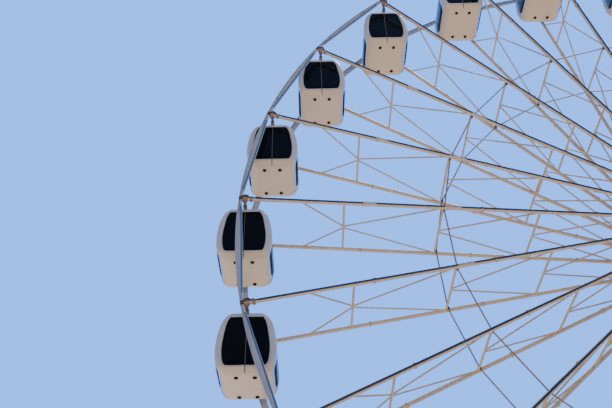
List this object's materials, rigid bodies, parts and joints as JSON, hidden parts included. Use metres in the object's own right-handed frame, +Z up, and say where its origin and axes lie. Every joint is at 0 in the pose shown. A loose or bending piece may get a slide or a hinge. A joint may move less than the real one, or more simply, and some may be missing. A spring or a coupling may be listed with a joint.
{
  "type": "observation wheel with enclosed cabins",
  "caption": "Free-standing observation wheel: two rims and flat spoke trusses on a hub, cabins hung between the rims, raking legs, base frame and loading platform.",
  "frame": {"origin": "on the ground, under the middle of the wheel's axle", "axes": "+Z up; Y along the axle, with the loading platform on the -Y side; X across the wheel"},
  "size_m": [35.6718, 10, 37.3837],
  "materials": {
    "wheel_steel": "semi-gloss light grey paint",
    "cabin_shell": "gloss white lacquer on moulded fibreglass",
    "base_steel": "semi-gloss white paint",
    "deck_metal": "chequered aluminium plate"
  },
  "bodies": {
    "base": {"axle": "base_steel", "leg_front_left": "base_steel", "leg_front_right": "base_steel", "leg_rear_left": "base_steel", "leg_rear_right": "base_steel", "base_frame": "base_steel", "loading_platform": "deck_metal", "steps_left": "deck_metal", "steps_right": "deck_metal"},
    "wheel": {"hub": "wheel_steel", "rim_front": "wheel_steel", "rim_rear": "wheel_steel", "spoke_01": "wheel_steel", "spoke_02": "wheel_steel", "spoke_03": "wheel_steel", "spoke_04": "wheel_steel", "spoke_05": "wheel_steel", "spoke_06": "wheel_steel", "spoke_07": "wheel_steel", "spoke_08": "wheel_steel", "spoke_09": "wheel_steel", "spoke_10": "wheel_steel", "spoke_11": "wheel_steel", "spoke_12": "wheel_steel", "spoke_13": "wheel_steel", "spoke_14": "wheel_steel", "spoke_15": "wheel_steel", "spoke_16": "wheel_steel", "spoke_17": "wheel_steel", "spoke_18": "wheel_steel", "spoke_19": "wheel_steel", "spoke_20": "wheel_steel", "spoke_21": "wheel_steel", "spoke_22": "wheel_steel", "spoke_23": "wheel_steel", "spoke_24": "wheel_steel"},
    "cabin_01": {"cabin_01": "cabin_shell"},
    "cabin_02": {"cabin_02": "cabin_shell"},
    "cabin_03": {"cabin_03": "cabin_shell"},
    "cabin_04": {"cabin_04": "cabin_shell"},
    "cabin_05": {"cabin_05": "cabin_shell"},
    "cabin_06": {"cabin_06": "cabin_shell"},
    "cabin_07": {"cabin_07": "cabin_shell"},
    "cabin_08": {"cabin_08": "cabin_shell"},
    "cabin_09": {"cabin_09": "cabin_shell"},
    "cabin_10": {"cabin_10": "cabin_shell"},
    "cabin_11": {"cabin_11": "cabin_shell"},
    "cabin_12": {"cabin_12": "cabin_shell"},
    "cabin_13": {"cabin_13": "cabin_shell"},
    "cabin_14": {"cabin_14": "cabin_shell"},
    "cabin_15": {"cabin_15": "cabin_shell"},
    "cabin_16": {"cabin_16": "cabin_shell"},
    "cabin_17": {"cabin_17": "cabin_shell"},
    "cabin_18": {"cabin_18": "cabin_shell"},
    "cabin_19": {"cabin_19": "cabin_shell"},
    "cabin_20": {"cabin_20": "cabin_shell"},
    "cabin_21": {"cabin_21": "cabin_shell"},
    "cabin_22": {"cabin_22": "cabin_shell"},
    "cabin_23": {"cabin_23": "cabin_shell"},
    "cabin_24": {"cabin_24": "cabin_shell"}
  },
  "joints": [
    {"name": "wheel_spin", "type": "hinge", "parent": "base", "child": "wheel", "pos_m": [0, 0, 20.27], "axis": [0, 1, 0], "continuous": true},
    {"name": "cabin_01_swing", "type": "hinge", "parent": "wheel", "child": "cabin_01", "pos_m": [-10.93749, 0, 33.15337], "axis": [0, 1, 0], "continuous": true},
    {"name": "cabin_02_swing", "type": "hinge", "parent": "wheel", "child": "cabin_02", "pos_m": [-13.89927, 0, 29.88355], "axis": [0, 1, 0], "continuous": true},
    {"name": "cabin_03_swing", "type": "hinge", "parent": "wheel", "child": "cabin_03", "pos_m": [-15.91383, 0, 25.95858], "axis": [0, 1, 0], "continuous": true},
    {"name": "cabin_04_swing", "type": "hinge", "parent": "wheel", "child": "cabin_04", "pos_m": [-16.84389, 0, 21.64594], "axis": [0, 1, 0], "continuous": true},
    {"name": "cabin_05_swing", "type": "hinge", "parent": "wheel", "child": "cabin_05", "pos_m": [-16.62607, 0, 17.23954], "axis": [0, 1, 0], "continuous": true},
    {"name": "cabin_06_swing", "type": "hinge", "parent": "wheel", "child": "cabin_06", "pos_m": [-15.27521, 0, 13.03965], "axis": [0, 1, 0], "continuous": true},
    {"name": "cabin_07_swing", "type": "hinge", "parent": "wheel", "child": "cabin_07", "pos_m": [-12.88337, 0, 9.33251], "axis": [0, 1, 0], "continuous": true},
    {"name": "cabin_08_swing", "type": "hinge", "parent": "wheel", "child": "cabin_08", "pos_m": [-9.61355, 0, 6.37073], "axis": [0, 1, 0], "continuous": true},
    {"name": "cabin_09_swing", "type": "hinge", "parent": "wheel", "child": "cabin_09", "pos_m": [-5.68858, 0, 4.35617], "axis": [0, 1, 0], "continuous": true},
    {"name": "cabin_10_swing", "type": "hinge", "parent": "wheel", "child": "cabin_10", "pos_m": [-1.37594, 0, 3.42611], "axis": [0, 1, 0], "continuous": true},
    {"name": "cabin_11_swing", "type": "hinge", "parent": "wheel", "child": "cabin_11", "pos_m": [3.03046, 0, 3.64393], "axis": [0, 1, 0], "continuous": true},
    {"name": "cabin_12_swing", "type": "hinge", "parent": "wheel", "child": "cabin_12", "pos_m": [7.23035, 0, 4.99479], "axis": [0, 1, 0], "continuous": true},
    {"name": "cabin_13_swing", "type": "hinge", "parent": "wheel", "child": "cabin_13", "pos_m": [10.93749, 0, 7.38663], "axis": [0, 1, 0], "continuous": true},
    {"name": "cabin_14_swing", "type": "hinge", "parent": "wheel", "child": "cabin_14", "pos_m": [13.89927, 0, 10.65645], "axis": [0, 1, 0], "continuous": true},
    {"name": "cabin_15_swing", "type": "hinge", "parent": "wheel", "child": "cabin_15", "pos_m": [15.91383, 0, 14.58142], "axis": [0, 1, 0], "continuous": true},
    {"name": "cabin_16_swing", "type": "hinge", "parent": "wheel", "child": "cabin_16", "pos_m": [16.84389, 0, 18.89406], "axis": [0, 1, 0], "continuous": true},
    {"name": "cabin_17_swing", "type": "hinge", "parent": "wheel", "child": "cabin_17", "pos_m": [16.62607, 0, 23.30046], "axis": [0, 1, 0], "continuous": true},
    {"name": "cabin_18_swing", "type": "hinge", "parent": "wheel", "child": "cabin_18", "pos_m": [15.27521, 0, 27.50035], "axis": [0, 1, 0], "continuous": true},
    {"name": "cabin_19_swing", "type": "hinge", "parent": "wheel", "child": "cabin_19", "pos_m": [12.88337, 0, 31.20749], "axis": [0, 1, 0], "continuous": true},
    {"name": "cabin_20_swing", "type": "hinge", "parent": "wheel", "child": "cabin_20", "pos_m": [9.61355, 0, 34.16927], "axis": [0, 1, 0], "continuous": true},
    {"name": "cabin_21_swing", "type": "hinge", "parent": "wheel", "child": "cabin_21", "pos_m": [5.68858, 0, 36.18383], "axis": [0, 1, 0], "continuous": true},
    {"name": "cabin_22_swing", "type": "hinge", "parent": "wheel", "child": "cabin_22", "pos_m": [1.37594, 0, 37.11389], "axis": [0, 1, 0], "continuous": true},
    {"name": "cabin_23_swing", "type": "hinge", "parent": "wheel", "child": "cabin_23", "pos_m": [-3.03046, 0, 36.89607], "axis": [0, 1, 0], "continuous": true},
    {"name": "cabin_24_swing", "type": "hinge", "parent": "wheel", "child": "cabin_24", "pos_m": [-7.23035, 0, 35.54521], "axis": [0, 1, 0], "continuous": true}
  ],
  "couplings": [
    {"joint": "cabin_01_swing", "follows": "wheel_spin", "ratio": -1},
    {"joint": "cabin_02_swing", "follows": "wheel_spin", "ratio": -1},
    {"joint": "cabin_03_swing", "follows": "wheel_spin", "ratio": -1},
    {"joint": "cabin_04_swing", "follows": "wheel_spin", "ratio": -1},
    {"joint": "cabin_05_swing", "follows": "wheel_spin", "ratio": -1},
    {"joint": "cabin_06_swing", "follows": "wheel_spin", "ratio": -1},
    {"joint": "cabin_07_swing", "follows": "wheel_spin", "ratio": -1},
    {"joint": "cabin_08_swing", "follows": "wheel_spin", "ratio": -1},
    {"joint": "cabin_09_swing", "follows": "wheel_spin", "ratio": -1},
    {"joint": "cabin_10_swing", "follows": "wheel_spin", "ratio": -1},
    {"joint": "cabin_11_swing", "follows": "wheel_spin", "ratio": -1},
    {"joint": "cabin_12_swing", "follows": "wheel_spin", "ratio": -1},
    {"joint": "cabin_13_swing", "follows": "wheel_spin", "ratio": -1},
    {"joint": "cabin_14_swing", "follows": "wheel_spin", "ratio": -1},
    {"joint": "cabin_15_swing", "follows": "wheel_spin", "ratio": -1},
    {"joint": "cabin_16_swing", "follows": "wheel_spin", "ratio": -1},
    {"joint": "cabin_17_swing", "follows": "wheel_spin", "ratio": -1},
    {"joint": "cabin_18_swing", "follows": "wheel_spin", "ratio": -1},
    {"joint": "cabin_19_swing", "follows": "wheel_spin", "ratio": -1},
    {"joint": "cabin_20_swing", "follows": "wheel_spin", "ratio": -1},
    {"joint": "cabin_21_swing", "follows": "wheel_spin", "ratio": -1},
    {"joint": "cabin_22_swing", "follows": "wheel_spin", "ratio": -1},
    {"joint": "cabin_23_swing", "follows": "wheel_spin", "ratio": -1},
    {"joint": "cabin_24_swing", "follows": "wheel_spin", "ratio": -1}
  ]
}
